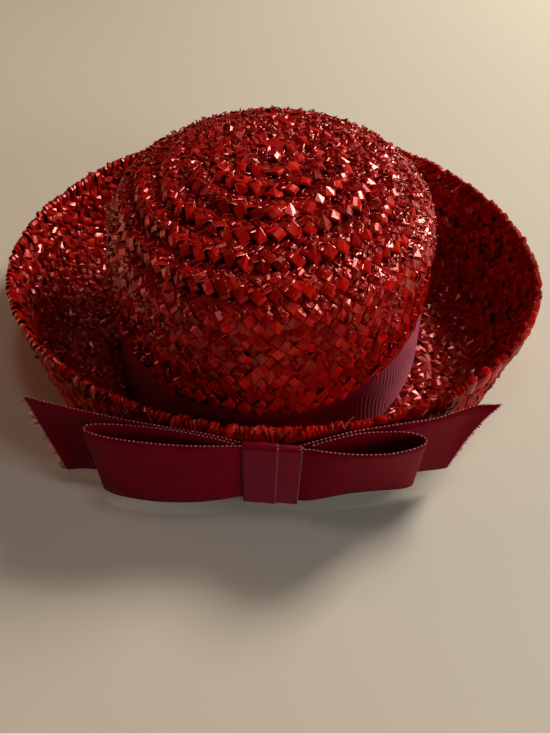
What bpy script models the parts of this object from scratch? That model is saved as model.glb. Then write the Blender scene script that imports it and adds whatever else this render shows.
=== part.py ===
"""Breton hat of sewn straw braid, with a grosgrain crown band and a flat bow on the front of its brim.

The hat rests on the fold of its turned-up brim. Metres, +Z up, the bow towards -Y.
The origin is at the bottom centre of the hat's bounding box.
"""
import math

import bmesh
import bpy
import numpy as np

# Sizes of the hat
STRAW = 0.0025            # thickness of the sewn braid
RIBBON = 0.0010           # thickness of the grosgrain
GAP = 0.0003              # air between pieces that touch
SEGMENTS = 60             # sides of the ovals

# The crown: half width, and how far it reaches to the front and to the back of the hat's centre
BAND_LINE = 0.0460        # height of the first row's lower edge, just above the ribbon
WIDEST = 0.0700           # height of the crown's widest ring
CROWN_TOP = 0.1051
FRONT_DIP = 0.0022        # how much lower the crown's foot and the ribbon are at the front
CROWN_OVALS = {
    "foot":   {"side": 0.0812, "front": 0.1084, "back": 0.0944},
    "widest": {"side": 0.0820, "front": 0.1018, "back": 0.0961},
}
TOP_CENTRE = 0.0020       # the centre of the braid's coil, behind the hat's centre
DOME_POWER = 2.36         # 2 is an ellipse, more is squarer
BRAID_ROWS = 8            # rows of braid from the ribbon to the top
BRAID_RIDGE = 0.0009      # how far the lower edge of a row stands out
ROW_RINGS = ((0.0, True), (0.45, False), (0.88, False))   # share of a row's width, and if the ring is proud
LEDGE = 0.0008            # height of the step under the first row

# The brim: where its edge is, how its wall leans and how tight its fold is
BRIM_EDGE = {
    "side":  {"reach": 0.1396, "height": 0.0499, "lean": 20.0, "fold": 0.0180},
    "front": {"reach": 0.1262, "height": 0.0485, "lean": -2.0, "fold": 0.0115},
    "back":  {"reach": 0.1373, "height": 0.0574, "lean": 20.0, "fold": 0.0170},
}
EDGE_TUCK = 0.0212        # how much the edge's oval is narrowed towards the front and back
EDGE_SWING = 0.0024       # how far the back of the edge stands to the right
JOIN_HEIGHT = 0.0036      # height of the brim's under side where it joins the crown
JOIN_SLOPE = 0.0120       # length of the slope from there down to the flat ring
FOLD_STEPS = 4
WALL_ROWS = 3             # rows of braid up the brim's wall
WALL_RINGS = ((0.14, False), (1.0, True))

# The crown band
BAND_FOOT = 0.0080        # height of its lower edge
BAND_HEIGHT = 0.0370      # a 38 mm ribbon, drawn up a little
BAND_FLARE = 0.0012       # how far its lower edge stands out over the brim
BAND_SLACK = 0.0001       # spare room between it and the crown, past the gap

# The bow: its knot, then the ribbon's middle along its top and its bottom edge, in millimetres
KNOT = {"left": -0.0006, "right": 0.0238, "face": 0.1316, "back": 0.1287, "top": 0.0485, "bottom": 0.0081}
KNOT_TURN = 0.0012        # radius at its upper and lower corners
MM = 0.001
LOOP_STEP = 0.0035        # about how far apart the loops' sections lie, and the tails'
TAIL_STEP = 0.0070
LOOP_STRIP = [
    # x top, y top, z top, x bottom, y bottom, z bottom
    (-4.2, -130.2, 47.0, -4.2, -130.0, 9.5),
    (-16.0, -129.0, 47.0, -16.0, -128.8, 9.3),
    (-33.0, -127.6, 47.0, -32.0, -127.4, 9.0),
    (-48.0, -127.0, 47.0, -46.0, -127.0, 9.0),
    (-60.0, -127.1, 47.0, -57.5, -127.4, 9.0),
    (-65.4, -128.2, 47.0, -62.4, -128.8, 9.0),
    (-66.6, -129.9, 47.0, -63.6, -130.7, 9.0),
    (-65.0, -131.6, 47.0, -62.0, -132.6, 9.0),
    (-56.0, -133.9, 47.0, -55.0, -134.9, 9.0),
    (-40.0, -135.3, 47.0, -40.0, -136.4, 9.0),
    (-24.0, -134.8, 47.0, -24.0, -135.6, 9.2),
    (-11.0, -132.9, 47.0, -11.0, -133.2, 9.4),
    (-3.2, -130.9, 47.0, -3.2, -130.9, 9.6),
    (2.0, -130.3, 47.0, 2.0, -130.3, 9.7),
    (12.0, -130.3, 47.0, 12.0, -130.3, 9.8),
    (21.5, -130.3, 47.1, 21.5, -130.3, 9.8),
    (27.0, -131.1, 47.3, 26.5, -130.6, 10.0),
    (35.0, -133.2, 47.9, 34.0, -129.2, 10.7),
    (46.0, -134.6, 48.5, 45.0, -126.3, 11.7),
    (58.0, -133.3, 48.7, 58.0, -123.8, 12.1),
    (67.0, -130.2, 48.7, 67.5, -122.0, 12.1),
    (72.0, -127.3, 48.7, 72.4, -120.2, 12.1),
    (73.6, -124.9, 48.7, 73.7, -118.3, 12.1),
    (72.0, -122.6, 48.7, 72.0, -116.7, 12.1),
    (66.5, -121.1, 48.7, 66.5, -116.6, 12.1),
    (59.0, -121.3, 48.5, 59.0, -118.0, 11.9),
    (47.0, -123.2, 48.3, 47.0, -123.2, 11.5),
    (36.0, -126.6, 47.9, 36.0, -126.7, 10.9),
    (28.0, -128.9, 47.4, 28.0, -128.8, 10.3),
]
TAIL_STRIP = [
    (-97.3, -114.4, 47.0, -82.9, -123.0, 9.0),
    (-83.0, -117.8, 47.0, -76.0, -121.6, 9.0),
    (-67.0, -120.9, 47.0, -64.0, -121.8, 9.0),
    (-50.0, -123.9, 47.0, -49.0, -124.1, 9.0),
    (-33.0, -126.1, 47.0, -33.0, -126.0, 9.0),
    (-16.0, -127.6, 47.0, -16.0, -127.5, 9.3),
    (-3.0, -128.8, 47.0, -3.0, -128.7, 9.6),
    (4.0, -129.0, 47.0, 4.0, -129.0, 9.7),
    (19.0, -129.0, 47.0, 19.0, -129.0, 9.7),
    (27.0, -127.5, 47.2, 27.0, -127.4, 10.0),
    (35.0, -125.3, 47.7, 35.0, -125.3, 10.6),
    (47.0, -121.4, 48.3, 46.0, -121.8, 11.3),
    (62.0, -117.0, 48.5, 60.0, -116.0, 11.5),
    (78.0, -112.0, 48.5, 73.0, -111.6, 11.1),
    (88.0, -107.0, 48.5, 81.0, -109.3, 10.7),
    (97.0, -102.6, 48.5, 86.0, -108.0, 10.5),
    (107.0, -101.2, 48.5, 90.3, -106.6, 10.5),
]

STRAW_RED = (0.305, 0.006, 0.004, 1.0)
RIBBON_WINE = (0.090, 0.002, 0.007, 1.0)


def clear_scene():
    for obj in list(bpy.data.objects):
        bpy.data.objects.remove(obj, do_unlink=True)


def new_collection(name):
    found = bpy.data.collections.get(name) or bpy.data.collections.new(name)
    if name not in bpy.context.scene.collection.children:
        bpy.context.scene.collection.children.link(found)
    return found


def finish_material(name, colour, roughness, coat):
    material = bpy.data.materials.new(name)
    material.use_nodes = True
    shader = material.node_tree.nodes["Principled BSDF"]
    shader.inputs["Base Color"].default_value = colour
    shader.inputs["Roughness"].default_value = roughness
    shader.inputs["Metallic"].default_value = 0.0
    shader.inputs["Coat Weight"].default_value = coat
    return material


def make_object(name, bm, collection, material, smooth_angle=40.0):
    mesh = bpy.data.meshes.new(name)
    bm.to_mesh(mesh)
    bm.free()
    mesh.shade_smooth()
    mesh.set_sharp_from_angle(angle=math.radians(smooth_angle))
    obj = bpy.data.objects.new(name, mesh)
    obj.data.materials.append(material)
    collection.objects.link(obj)
    return obj


def thicken(obj, thickness, offset):
    wall = obj.modifiers.new("wall", "SOLIDIFY")
    wall.thickness = thickness
    wall.offset = offset
    wall.use_even_offset = True
    return obj


def loft(rings, closed):
    """A sheet through rings of points; closed joins the end of each ring to its start."""
    bm = bmesh.new()
    grid = [[bm.verts.new(point) for point in ring] for ring in rings]
    count = len(grid[0])
    spans = count if closed else count - 1
    for lower, upper in zip(grid, grid[1:]):
        for i in range(spans):
            j = (i + 1) % count
            bm.faces.new((lower[i], lower[j], upper[j], upper[i]))
    return bm, grid


def angles():
    return [2.0 * math.pi * i / SEGMENTS for i in range(SEGMENTS)]


def towards(t, side, front, back):
    """A size that changes smoothly round the hat: +X and -X are sides, -Y is the front."""
    share = math.sin(t) ** 2
    end = back if math.sin(t) > 0.0 else front
    return side + (end - side) * share


def oval(t, side, front, back, centre=0.0):
    reach = back - centre if math.sin(t) > 0.0 else front + centre
    return side * math.cos(t), centre + reach * math.sin(t)


def crown_section(steps=240):
    """Heights and sizes of the crown from the ribbon's top edge to the top, evenly spaced by length."""
    rows = []
    low, wide = CROWN_OVALS["foot"], CROWN_OVALS["widest"]
    for i in range(steps):
        share = i / steps
        size = {key: low[key] + (wide[key] - low[key]) * share for key in low}
        rows.append((BAND_LINE + (WIDEST - BAND_LINE) * share, size, 0.0))
    for i in range(steps + 1):
        turn = 0.5 * math.pi * i / steps
        narrow = max(math.cos(turn), 0.0) ** (2.0 / DOME_POWER)
        rise = math.sin(turn) ** (2.0 / DOME_POWER)
        centre = TOP_CENTRE * (1.0 - narrow)
        size = {
            "side": wide["side"] * narrow,
            "front": wide["front"] * narrow - centre,
            "back": wide["back"] * narrow + centre,
        }
        rows.append((WIDEST + (CROWN_TOP - WIDEST) * rise, size, centre))
    length = [0.0]
    for (z0, s0, _), (z1, s1, _) in zip(rows, rows[1:]):
        length.append(length[-1] + math.hypot(z1 - z0, s1["side"] - s0["side"]))
    return rows, length


def dip(t, height=BAND_LINE):
    """The drop towards the front, which has faded away at the crown's widest ring."""
    fade = min(max((WIDEST - height) / (WIDEST - BAND_LINE), 0.0), 1.0)
    return towards(t, 0.0, -FRONT_DIP, 0.0) * fade


def crown_ring(height, size, centre):
    ring = []
    for t in angles():
        x, y = oval(t, size["side"], size["front"], size["back"], centre)
        ring.append((x, y, height + dip(t, height)))
    return ring


def build_crown(collection, material):
    """The crown: a straight foot behind the ribbon, then rows of braid, each with a proud lower edge."""
    section, length = crown_section()
    foot = JOIN_HEIGHT + STRAW + GAP
    rings = [crown_ring(height, CROWN_OVALS["foot"], 0.0) for height in (foot, BAND_LINE - LEDGE)]
    proud = [False, False]
    step = length[-1] / BRAID_ROWS
    for row in range(BRAID_ROWS):
        for share, out in ROW_RINGS:
            at = int(np.searchsorted(length, (row + share) * step))
            rings.append(crown_ring(*section[at]))
            proud.append(out)
    bm, grid = loft(rings, closed=True)
    tip = bm.verts.new((0.0, TOP_CENTRE, CROWN_TOP))
    for i in range(SEGMENTS):
        bm.faces.new((grid[-1][i], grid[-1][(i + 1) % SEGMENTS], tip))
    bm.normal_update()
    for ring, out in zip(grid[1:], proud[1:]):
        if out:
            for vert in ring:
                vert.co += vert.normal * BRAID_RIDGE
    crown = make_object("crown", bm, collection, material)
    return thicken(crown, STRAW, -1.0)


def brim_section(t):
    """Points of the brim's under side at one angle, as distance out from the crown's foot and height."""
    edge = {key: towards(t, *(BRIM_EDGE[where][key] for where in ("side", "front", "back")))
            for key in ("height", "lean", "fold")}
    foot = np.array(oval(t, **CROWN_OVALS["foot"]))
    x, y = oval(t, *(BRIM_EDGE[where]["reach"] for where in ("side", "front", "back")))
    swing = EDGE_SWING * 0.5 * (1.0 + math.sin(t))
    rim = np.array((x * (1.0 - EDGE_TUCK * math.sin(t) ** 2) + swing, y))
    run = float(np.hypot(*(rim - foot)))
    lean = math.radians(edge["lean"])
    turn = 0.5 * math.pi - lean
    fold = edge["fold"]
    wall_rise = edge["height"] - fold * (1.0 - math.cos(turn))
    floor_end = run - wall_rise * math.tan(lean) - fold * math.sin(turn)
    join = JOIN_HEIGHT + dip(t)
    slope_end = min(JOIN_SLOPE, 0.5 * floor_end)
    points = [(-STRAW, join, False), (0.0, join, False), (slope_end, 0.0, False), (floor_end, 0.0, False)]
    for i in range(1, FOLD_STEPS + 1):
        part = turn * i / FOLD_STEPS
        points.append((floor_end + fold * math.sin(part), fold * (1.0 - math.cos(part)), False))
    start, rise = points[-1][:2]
    for row in range(WALL_ROWS):
        for share, out in WALL_RINGS:
            climb = wall_rise * (row + share) / WALL_ROWS
            points.append((start + climb * math.tan(lean), rise + climb, out))
    direction = (rim - foot) / run
    return [(*(foot + direction * s), z, out, direction) for s, z, out in points]


def build_brim(collection, material):
    """The brim: a flat ring that the hat stands on, a fold, and a wall of braid rows up to the edge."""
    sections = [brim_section(t) for t in angles()]
    rings = []
    for level in range(len(sections[0])):
        ring = []
        for section in sections:
            x, y, z, out, direction = section[level]
            push = BRAID_RIDGE * direction if out and level < len(section) - 1 else (0.0, 0.0)
            ring.append((x + push[0], y + push[1], z))
        rings.append(ring)
    bm, _ = loft(rings, closed=True)
    brim = make_object("brim", bm, collection, material)
    return thicken(brim, STRAW, -1.0)


def build_crown_band(collection, material):
    """The ribbon round the crown, flared a little where it meets the brim."""
    levels = [(0.0, BAND_FLARE), (0.12, 0.45 * BAND_FLARE), (0.3, 0.0), (1.0, 0.0)]
    rings = []
    for share, flare in levels:
        ring = []
        for t in angles():
            stand = GAP + BAND_SLACK + 0.5 * RIBBON + flare
            size = {key: value + stand for key, value in CROWN_OVALS["foot"].items()}
            ring.append((*oval(t, **size), BAND_FOOT + share * BAND_HEIGHT + dip(t)))
        rings.append(ring)
    bm, _ = loft(rings, closed=True)
    return thicken(make_object("crown_band", bm, collection, material), RIBBON, 0.0)


def smooth_rows(rows, spacing):
    """A curve through rows of numbers, with a row about every spacing along the first three."""
    rows = np.array(rows) * MM
    before = np.vstack([2 * rows[0] - rows[1], rows[:-1]])
    after = np.vstack([rows[1:], 2 * rows[-1] - rows[-2]])
    slope = 0.5 * (after - before)
    out = []
    for i in range(len(rows) - 1):
        count = max(1, round(float(np.linalg.norm(rows[i + 1, :3] - rows[i, :3])) / spacing))
        for k in range(count):
            u = k / count
            out.append((2 * u**3 - 3 * u**2 + 1) * rows[i] + (u**3 - 2 * u**2 + u) * slope[i]
                       + (3 * u**2 - 2 * u**3) * rows[i + 1] + (u**3 - u**2) * slope[i + 1])
    out.append(rows[-1])
    return out


def build_strip(name, rows, spacing, collection, material):
    """A ribbon on edge between its top and bottom edges."""
    path = smooth_rows(rows, spacing)
    rings = []
    for share in (0.0, 0.5, 1.0):
        rings.append([tuple(row[3:] + (row[:3] - row[3:]) * share) for row in path])
    bm, _ = loft(rings, closed=False)
    return thicken(make_object(name, bm, collection, material), RIBBON, 0.0)


def build_bow_knot(collection, material):
    """The short ribbon round the middle of the bow, its ends turned in behind."""
    middle, turn = 0.5 * RIBBON, KNOT_TURN
    face, back = -KNOT["face"], -KNOT["back"]
    top, bottom = KNOT["top"] - middle, KNOT["bottom"] + middle
    profile = [(back, top)]
    corners = (((face + turn, top - turn), 90.0), ((face + turn, bottom + turn), 180.0))
    for (cy, cz), start in corners:
        for i in range(4):
            angle = math.radians(start + 30.0 * i)
            profile.append((cy + turn * math.cos(angle), cz + turn * math.sin(angle)))
    profile.append((back, bottom))
    rings = [[(x, y, z) for y, z in profile] for x in (KNOT["left"], KNOT["right"])]
    bm, _ = loft(rings, closed=False)
    return thicken(make_object("bow_knot", bm, collection, material), RIBBON, 0.0)


def main():
    clear_scene()
    parts = new_collection("breton_hat")
    crown_straw = finish_material("crown_straw", STRAW_RED, 0.28, 0.6)
    brim_straw = finish_material("brim_straw", STRAW_RED, 0.28, 0.6)
    band_ribbon = finish_material("band_grosgrain", RIBBON_WINE, 0.72, 0.0)
    loop_ribbon = finish_material("loop_grosgrain", RIBBON_WINE, 0.72, 0.0)
    tail_ribbon = finish_material("tail_grosgrain", RIBBON_WINE, 0.72, 0.0)
    knot_ribbon = finish_material("knot_grosgrain", RIBBON_WINE, 0.72, 0.0)
    build_crown(parts, crown_straw)
    build_brim(parts, brim_straw)
    build_crown_band(parts, band_ribbon)
    build_strip("bow_loops", LOOP_STRIP, LOOP_STEP, parts, loop_ribbon)
    build_strip("bow_tails", TAIL_STRIP, TAIL_STEP, parts, tail_ribbon)
    build_bow_knot(parts, knot_ribbon)


main()
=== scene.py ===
# %% [markdown]
# This is a breton hat: a domed crown and a brim turned up all round, both sewn from one long
# braid of glossy straw, with a ribbon round the crown and a flat bow on the front of the brim.
# The solids that carry its size come first. They stay where they are, and every piece made
# below lies on them, in metres, with +Z up and the bow towards -Y.

# %% Load the solids
import math

import bmesh
import bpy
import numpy as np
from mathutils import Matrix, Vector


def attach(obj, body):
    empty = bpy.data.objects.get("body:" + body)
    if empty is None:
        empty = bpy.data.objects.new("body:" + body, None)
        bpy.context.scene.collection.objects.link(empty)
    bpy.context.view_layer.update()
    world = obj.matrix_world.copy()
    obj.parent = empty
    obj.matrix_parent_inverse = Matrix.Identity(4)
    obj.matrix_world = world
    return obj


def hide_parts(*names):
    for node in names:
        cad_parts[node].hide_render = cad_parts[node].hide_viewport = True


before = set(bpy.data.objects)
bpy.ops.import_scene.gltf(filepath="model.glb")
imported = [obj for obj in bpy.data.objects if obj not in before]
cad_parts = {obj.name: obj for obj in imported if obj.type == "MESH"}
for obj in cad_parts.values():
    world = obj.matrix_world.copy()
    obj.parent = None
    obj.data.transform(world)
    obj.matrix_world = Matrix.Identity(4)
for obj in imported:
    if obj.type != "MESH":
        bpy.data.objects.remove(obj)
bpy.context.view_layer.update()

print("solids:", ", ".join(sorted(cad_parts)))

# %% [markdown]
# The camera looks down at the front of the hat, from a little to its right, close enough for
# the near side to look large. Its place was worked out from the hat's known outline. A camera
# looks along its own -Z, so it is turned up from straight down, then round, then rolled a touch.

# %% Camera
CAMERA_PLACE = (0.0246, -0.3145, 0.2645)
LOOKS_DOWN, LOOKS_LEFT, ROLL = (math.radians(degrees) for degrees in (43.46, 3.96, 1.15))
LENS_MM, SENSOR_MM = 34.38, 36.0

camera_data = bpy.data.cameras.new("camera")
camera_data.lens = LENS_MM
camera_data.sensor_width = SENSOR_MM
camera_data.clip_start = 0.01
camera = bpy.data.objects.new("camera", camera_data)
turn = (Matrix.Rotation(LOOKS_LEFT, 4, "Z") @ Matrix.Rotation(math.pi / 2 - LOOKS_DOWN, 4, "X")
        @ Matrix.Rotation(ROLL, 4, "Z"))
camera.matrix_world = Matrix.Translation(CAMERA_PLACE) @ turn
bpy.context.scene.collection.objects.link(camera)
bpy.context.scene.camera = camera
print("camera:", [round(part, 4) for part in camera.location])

# %% [markdown]
# The hat stands on a plain pale floor. Straw this glossy shows its weave only by what it
# mirrors, so the room is dark and one soft light stands to the right and behind, as a window
# would. A small one overhead gives the top its glints, a warm one on the left is a lit wall
# that the hat's left side mirrors, and a cool one in front lights the ribbon.

# %% Floor and soft light
FLOOR_REACH = 3.0
FLOOR_COLOUR = (0.62, 0.57, 0.47, 1.0)
LIGHTS = {
    # place, size, watts, colour
    "window": ((1.14, 1.08, 1.23), 0.57, 39.4, (1.0, 0.92, 0.80)),
    "ceiling": ((0.08, -0.06, 1.30), 0.22, 1.2, (1.0, 0.92, 0.82)),
    "far_wall": ((-1.10, 0.15, 0.34), 0.60, 2.8, (1.0, 0.40, 0.22)),
    "front_fill": ((1.04, -0.64, 0.42), 0.40, 6.3, (0.88, 0.93, 1.0)),
}
ROOM_GLOW, ROOM_COLOUR = 0.018, (1.0, 0.92, 0.82, 1.0)
bpy.context.scene.view_settings.view_transform = "Standard"


def plain_finish(name, colour, roughness):
    material = bpy.data.materials.new(name)
    material.use_nodes = True
    shader = material.node_tree.nodes["Principled BSDF"]
    shader.inputs["Base Color"].default_value = colour
    shader.inputs["Roughness"].default_value = roughness
    return material


bm = bmesh.new()
bmesh.ops.create_grid(bm, x_segments=1, y_segments=1, size=FLOOR_REACH)
floor_mesh = bpy.data.meshes.new("floor")
bm.to_mesh(floor_mesh)
bm.free()
floor_mesh.materials.append(plain_finish("floor_paper", FLOOR_COLOUR, roughness=0.85))
floor = bpy.data.objects.new("floor", floor_mesh)
bpy.context.scene.collection.objects.link(floor)

for name, (place, size, watts, colour) in LIGHTS.items():
    data = bpy.data.lights.new(name, "AREA")
    data.size, data.energy, data.color = size, watts, colour
    lamp = bpy.data.objects.new(name, data)
    lamp.location = place
    lamp.rotation_euler = (-Vector(place)).to_track_quat("-Z", "Y").to_euler()
    lamp.visible_glossy = name != "front_fill"       # it lights the ribbon, and no straw mirrors it
    bpy.context.scene.collection.objects.link(lamp)

room = bpy.data.worlds.new("room")
room.use_nodes = True
glow = room.node_tree.nodes["Background"].inputs
glow["Color"].default_value, glow["Strength"].default_value = ROOM_COLOUR, ROOM_GLOW
bpy.context.scene.world = room
print("lights:", ", ".join(LIGHTS))

# %% [markdown]
# The crown is an oval dome. Seen from above, each level is half an ellipse to the front and
# half of another to the back. These are the solids' own sizes, written as functions of a place
# on the surface, so that braid and ribbon can be laid anywhere on it: t goes round the hat from
# +X, and up goes from the ribbon's top edge (0) to the top of the dome (1).

# %% Shape of the crown
MM = 0.001
STRAW = 0.0025               # the wall of straw, braid and all
BAND_LINE, WIDEST, CROWN_TOP, FRONT_DIP = 0.0460, 0.0700, 0.1051, 0.0022
FOOT_OVAL = {"side": 0.0812, "front": 0.1084, "back": 0.0944}
WIDEST_OVAL = {"side": 0.0820, "front": 0.1018, "back": 0.0961}
TOP_CENTRE, DOME_POWER = 0.0020, 2.36
JOIN_HEIGHT = 0.0036


def towards(t, side, front, back):
    """A size that changes smoothly round the hat: +X and -X are sides, -Y is the front."""
    end = np.where(np.sin(t) > 0.0, back, front)
    return side + (end - side) * np.sin(t) ** 2


def oval(t, side, front, back):
    return side * np.cos(t), np.where(np.sin(t) > 0.0, back, front) * np.sin(t)


def dip(t, height):
    """The drop towards the front, which has faded away at the crown's widest ring."""
    return towards(t, 0.0, -FRONT_DIP, 0.0) * np.clip((WIDEST - height) / (WIDEST - BAND_LINE), 0.0, 1.0)


def line_length(points):
    """How far along a line of points each one lies."""
    return np.concatenate([[0.0], np.cumsum(np.linalg.norm(np.diff(points, axis=0), axis=1))])


def crown_table(steps=240):
    """Columns: share of the way up, height, side, front, back and centre of each ring."""
    share = np.linspace(0.0, 1.0, steps + 1)
    wall = [BAND_LINE + (WIDEST - BAND_LINE) * share]
    wall += [FOOT_OVAL[key] + (WIDEST_OVAL[key] - FOOT_OVAL[key]) * share for key in FOOT_OVAL]
    wall.append(0.0 * share)
    turn = 0.5 * math.pi * share
    narrow = np.clip(np.cos(turn), 0.0, 1.0) ** (2.0 / DOME_POWER)
    rise = np.sin(turn) ** (2.0 / DOME_POWER)
    dome = [WIDEST + (CROWN_TOP - WIDEST) * rise]
    dome += [WIDEST_OVAL[key] * narrow for key in WIDEST_OVAL]
    dome.append(TOP_CENTRE * (1.0 - narrow))
    rows = np.vstack([np.array(wall).T[:-1], np.array(dome).T])
    length = line_length(rows[:, :2])
    return np.column_stack([length / length[-1], rows]), length[-1]


CROWN_ROWS, CROWN_LENGTH = crown_table()


def crown_surface(up, t):
    """Points on the outside of the crown; up is a little below 0 behind the ribbon."""
    under = CROWN_LENGTH * np.minimum(up, 0.0)
    up = np.clip(up, 0.0, 1.0)
    height, side, front, back, centre = (
        np.interp(up, CROWN_ROWS[:, 0], CROWN_ROWS[:, k]) for k in range(1, 6))
    x, y = oval(t, side, front, back)
    return np.stack([x, y + centre, height + dip(t, height) + under], axis=-1)


print("crown, from the ribbon to the top:", round(CROWN_LENGTH / MM, 1), "mm at the side")

# %% [markdown]
# The brim starts at the crown's foot, lies flat for a while, turns up in a round fold and
# leans outward to its edge. Its cut is a line, an arc and a line, whose sizes change round the
# hat. out goes from the crown's foot (0) to the edge (1) on the under side of the straw.

# %% Shape of the brim
BRIM_EDGE = {
    "side": {"reach": 0.1396, "height": 0.0499, "lean": 20.0, "fold": 0.0180},
    "front": {"reach": 0.1262, "height": 0.0485, "lean": -2.0, "fold": 0.0115},
    "back": {"reach": 0.1373, "height": 0.0574, "lean": 20.0, "fold": 0.0170},
}
EDGE_TUCK, EDGE_SWING, JOIN_SLOPE = 0.0212, 0.0024, 0.0120


def brim_size(t, key):
    return towards(t, *(BRIM_EDGE[where][key] for where in ("side", "front", "back")))


def brim_surface(out, t):
    """Points on the under side of the brim."""
    lean, fold = np.radians(brim_size(t, "lean")), brim_size(t, "fold")
    foot = np.stack(oval(t, **FOOT_OVAL), axis=-1)
    x, y = oval(t, *(BRIM_EDGE[where]["reach"] for where in ("side", "front", "back")))
    swing = EDGE_SWING * 0.5 * (1.0 + np.sin(t))
    rim = np.stack([x * (1.0 - EDGE_TUCK * np.sin(t) ** 2) + swing, y], axis=-1)
    run = np.linalg.norm(rim - foot, axis=-1)
    bend = 0.5 * math.pi - lean
    wall = brim_size(t, "height") - fold * (1.0 - np.cos(bend))
    flat = run - wall * np.tan(lean) - fold * np.sin(bend)
    far = out * (flat + fold * bend + wall / np.cos(lean))
    part = np.clip((far - flat) / fold, 0.0, bend)
    climb = np.maximum(far - flat - fold * bend, 0.0)
    along = np.minimum(far, flat) + fold * np.sin(part) + climb * np.sin(lean)
    near = np.clip(1.0 - far / np.minimum(JOIN_SLOPE, 0.5 * flat), 0.0, 1.0)
    height = (JOIN_HEIGHT + dip(t, BAND_LINE)) * near + fold * (1.0 - np.cos(part)) + climb * np.cos(lean)
    plan = foot + (rim - foot) / run[..., None] * along[..., None]
    return np.concatenate([plan, height[..., None]], axis=-1)


def unit(vectors):
    return vectors / np.maximum(np.linalg.norm(vectors, axis=-1, keepdims=True), 1e-12)


def surface_frame(surface, across, t, step=2e-4):
    """Points, how they move as t and across grow, and the normal, which is that of both moves."""
    low, high = np.minimum(across - step, 1.0), np.minimum(across + step, 1.0)
    round_way = (surface(across, t + step) - surface(across, t - step)) / (2.0 * step)
    cross_way = (surface(high, t) - surface(low, t)) / (high - low)[..., None]
    return surface(across, t), round_way, cross_way, unit(np.cross(round_way, cross_way))


ring = brim_surface(np.ones(4), np.radians([0.0, 90.0, 180.0, 270.0]))
print("edge of the brim, right, back, left, front:", np.round(ring / MM).tolist())

# %% [markdown]
# The straw is a flat, shiny strip, dyed cherry red, with fine lines along its length and a
# slightly different tone in every strip. The lines are one node group, because every straw
# finish below uses them. It reads the strip's own flat coordinates, so they run along it.

# %% Node tools and the straw's fine lines
def set_inputs(tree, node, **values):
    """Sets a node's own settings and its inputs by name. An input given a socket is linked."""
    for key, value in values.items():
        if hasattr(node, key):
            setattr(node, key, value)
        elif isinstance(value, bpy.types.NodeSocket):
            tree.links.new(value, node.inputs[key.replace("_", " ")])
        else:
            node.inputs[key.replace("_", " ")].default_value = value
    return node.outputs


def add_node(tree, kind, **values):
    """Adds a node and returns its outputs."""
    return set_inputs(tree, tree.nodes.new("ShaderNode" + kind), **values)


def calc(tree, operation, *inputs, use_clamp=False):
    """Adds a Math node for sockets and numbers and returns its result."""
    node = tree.nodes.new("ShaderNodeMath")
    node.operation, node.use_clamp = operation, use_clamp
    for socket, value in zip(node.inputs, inputs):
        if isinstance(value, bpy.types.NodeSocket):
            tree.links.new(value, socket)
        else:
            socket.default_value = value
    return node.outputs[0]


def new_group(name, inputs, masks):
    """A node group with number inputs {name: default}, which puts out masks and a normal."""
    group = bpy.data.node_groups.new(name, "ShaderNodeTree")
    for key, value in inputs.items():
        socket = group.interface.new_socket(name=key, in_out="INPUT", socket_type="NodeSocketFloat")
        socket.default_value = value
    for key in masks:
        group.interface.new_socket(name=key, in_out="OUTPUT", socket_type="NodeSocketFloat")
    group.interface.new_socket(name="Normal", in_out="OUTPUT", socket_type="NodeSocketVector")
    place = add_node(group, "UVMap", uv_map="strip")["UV"]
    given, result = group.nodes.new("NodeGroupInput").outputs, group.nodes.new("NodeGroupOutput")
    return group, given, result, place, add_node(group, "SeparateXYZ", Vector=place)


def straw_line_group():
    group, given, result, _, parts = new_group("straw_lines", {"Lines per mm": 2.2, "Depth": 0.25}, ["Mask"])
    stretch = calc(group, "MULTIPLY", parts["X"], 0.16)
    across = calc(group, "MULTIPLY", parts["Y"], given["Lines per mm"])
    spot = add_node(group, "CombineXYZ", X=stretch, Y=across)[0]
    noise = add_node(group, "TexNoise", Vector=spot, Scale=1.0, Detail=3.0, Roughness=0.6)["Fac"]
    bump = add_node(group, "Bump", Distance=0.0002, Strength=given["Depth"], Height=noise)
    set_inputs(group, result, Mask=noise, Normal=bump[0])
    return group


STRAW_LINES = straw_line_group()

# %% Straw finishes
STRAW_TONES = (0.085, 0.0006, 0.0004, 1.0), (0.560, 0.0060, 0.0022, 1.0)
# The core's dark red is painted shade for the gaps between the strips.
CORE_PAINTED_SHADE_TONES = (0.040, 0.0004, 0.0004, 1.0), (0.120, 0.0012, 0.0008, 1.0)


def mix_colours(tree, tones, factor):
    return add_node(tree, "Mix", data_type="RGBA", A=tones[0], B=tones[1], Factor=factor)["Result"]


def tone_and_painted_shading(tree):
    return add_node(tree, "Attribute", attribute_name="tone")["Fac"]


def straw_finish(name, roughness=(0.18, 0.34), coat=0.10, lines=2.2, depth=0.25, mirror=1.0,
                 tones=STRAW_TONES):
    """Glossy dyed straw, from deep to bright tone by its lines and each strip's tone, which holds painted
    light and shade.
    """
    material = plain_finish(name, tones[1], roughness[0])
    tree = material.node_tree
    streak = add_node(tree, "Group", node_tree=STRAW_LINES, Lines_per_mm=lines, Depth=depth)
    tone = calc(tree, "MULTIPLY_ADD", streak["Mask"], 0.5, tone_and_painted_shading(tree), use_clamp=True)
    rough = add_node(tree, "MapRange", Value=streak["Mask"], To_Min=roughness[0], To_Max=roughness[1])
    set_inputs(tree, tree.nodes["Principled BSDF"], Base_Color=mix_colours(tree, tones, tone),
               Roughness=rough["Result"], Normal=streak["Normal"], Specular_IOR_Level=mirror,
               Specular_Tint=(1.0, 0.20, 0.17, 1.0), Coat_Weight=coat, Coat_Roughness=0.12)
    return material


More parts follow.
